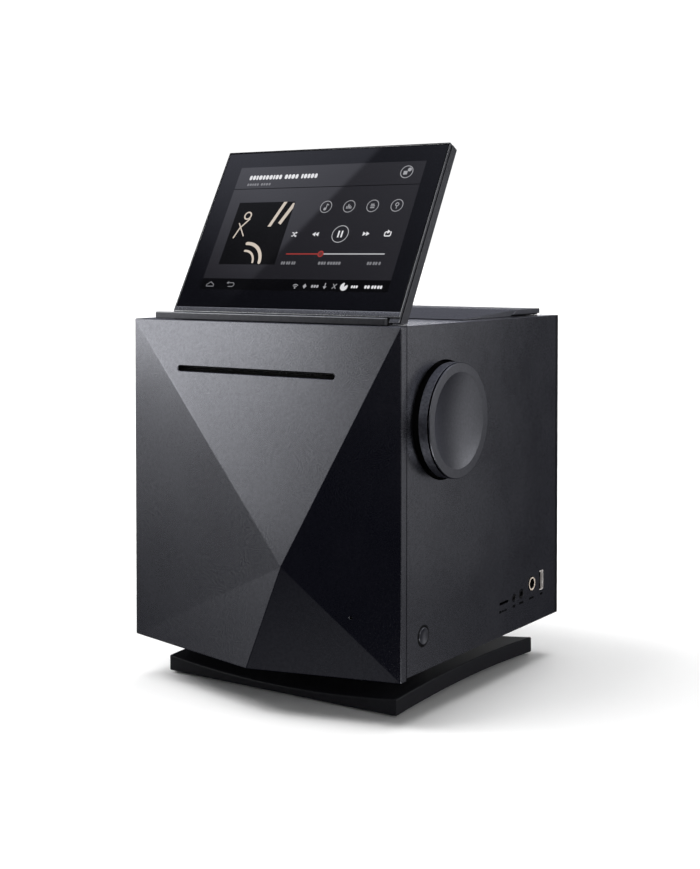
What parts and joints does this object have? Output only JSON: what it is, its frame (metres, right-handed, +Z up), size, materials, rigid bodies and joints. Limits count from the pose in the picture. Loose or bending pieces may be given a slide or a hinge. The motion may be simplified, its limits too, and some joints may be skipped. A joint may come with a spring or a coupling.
{
  "type": "desktop digital audio player",
  "caption": "Faceted aluminium cube audio player with a tilting touch display on top, side volume knob, front disc slot, side and rear sockets, on a low arched base.",
  "frame": {"origin": "on the ground under the centre of the bounding box, display raised at its rest angle", "axes": "+Z up, the faceted front faces -Y, the volume knob is on the +X side"},
  "size_m": [0.2168, 0.238, 0.3477],
  "materials": {
    "anodised_aluminium": "dark grey anodised, fine bead-blasted",
    "knob_aluminium": "dark grey anodised, turned face with a dished front",
    "base_aluminium": "near-black anodised, fine bead-blasted",
    "black_plastic": "moulded black",
    "felt": "black felt",
    "bright_steel": "pressed and plated steel",
    "gold_plate": "polished gold plate",
    "circuit_board": "green solder mask",
    "black_rubber": "soft black rubber",
    "display_glass": "polished black cover glass, lit screen behind",
    "lcd_panel": "backlit panel"
  },
  "bodies": {
    "chassis": {"front_panel": "anodised_aluminium", "left_side_panel": "anodised_aluminium", "right_side_panel": "anodised_aluminium", "top_plate": "anodised_aluminium", "bottom_plate": "anodised_aluminium", "rear_panel": "anodised_aluminium", "connector_plate": "black_plastic", "disc_slot_seal": "felt", "status_led": "black_plastic", "deck_front_rail": "anodised_aluminium", "deck_ramp": "anodised_aluminium", "deck_rear_cover": "anodised_aluminium", "hinge_bracket_left": "black_plastic", "hinge_bracket_right": "black_plastic", "hinge_pin_left": "bright_steel", "hinge_pin_right": "bright_steel", "knob_recess_ring": "black_plastic", "volume_encoder": "bright_steel", "power_button_ring": "black_plastic", "power_switch": "black_plastic", "usb_socket_shell": "bright_steel", "usb_socket_tongue": "black_plastic", "headphone_socket": "black_plastic", "headphone_socket_ring": "gold_plate", "small_headphone_socket": "black_plastic", "balanced_headphone_socket": "black_plastic", "card_reader": "bright_steel", "socket_board": "circuit_board", "main_board": "circuit_board", "analogue_board": "circuit_board", "power_supply": "bright_steel", "battery_pack": "black_plastic", "storage_drive": "bright_steel", "drive_chassis": "bright_steel", "drive_cover": "bright_steel", "sled_rail": "bright_steel", "xlr_output_left": "black_plastic", "xlr_output_right": "black_plastic", "digital_coax_socket": "bright_steel", "network_socket": "bright_steel", "power_inlet": "black_plastic", "base_plate": "base_aluminium", "base_neck": "black_plastic", "foot_1": "black_rubber", "foot_2": "black_rubber", "foot_3": "black_rubber", "foot_4": "black_rubber"},
    "display": {"display_frame": "anodised_aluminium", "display_glass": "display_glass", "lcd_module": "lcd_panel", "display_board": "circuit_board", "display_rear_cover": "anodised_aluminium"},
    "volume_knob": {"volume_knob_body": "knob_aluminium", "volume_knob_cap": "knob_aluminium", "volume_knob_shaft": "bright_steel"},
    "power_button": {"power_button": "anodised_aluminium"},
    "disc_spindle": {"disc_spindle": "black_plastic"},
    "feed_roller": {"feed_roller": "black_rubber"},
    "laser_sled": {"laser_sled": "black_plastic"},
    "lead_screw": {"sled_lead_screw": "bright_steel"}
  },
  "joints": [
    {"name": "display_tilt", "type": "hinge", "parent": "chassis", "child": "display", "pos_m": [0, -0.06439, 0.23978], "axis": [1, 0, 0], "range_deg": [-59, 24]},
    {"name": "volume_turn", "type": "hinge", "parent": "chassis", "child": "volume_knob", "pos_m": [0.09785, -0.0433, 0.1774], "axis": [1, 0, 0], "continuous": true},
    {"name": "power_press", "type": "slide", "parent": "chassis", "child": "power_button", "axis": [-1, 0, 0], "range_m": [0, 0.0012], "stiffness_N_per_m": 900, "springref_m": -0.001},
    {"name": "disc_spin", "type": "hinge", "parent": "chassis", "child": "disc_spindle", "pos_m": [-0.00615, -0.0045, 0.2051], "axis": [0, 0, 1], "continuous": true},
    {"name": "roller_spin", "type": "hinge", "parent": "chassis", "child": "feed_roller", "pos_m": [-0.00615, -0.078, 0.2009], "axis": [1, 0, 0], "continuous": true},
    {"name": "sled_travel", "type": "slide", "parent": "chassis", "child": "laser_sled", "axis": [0, 1, 0], "range_m": [-0.018, 0.012]},
    {"name": "screw_spin", "type": "hinge", "parent": "chassis", "child": "lead_screw", "pos_m": [0.00585, -0.0425, 0.2001], "axis": [0, 1, 0], "range_deg": [-2170, 1450]}
  ],
  "couplings": [
    {"joint": "screw_spin", "follows": "sled_travel", "rad_per_m": 2094.4}
  ]
}
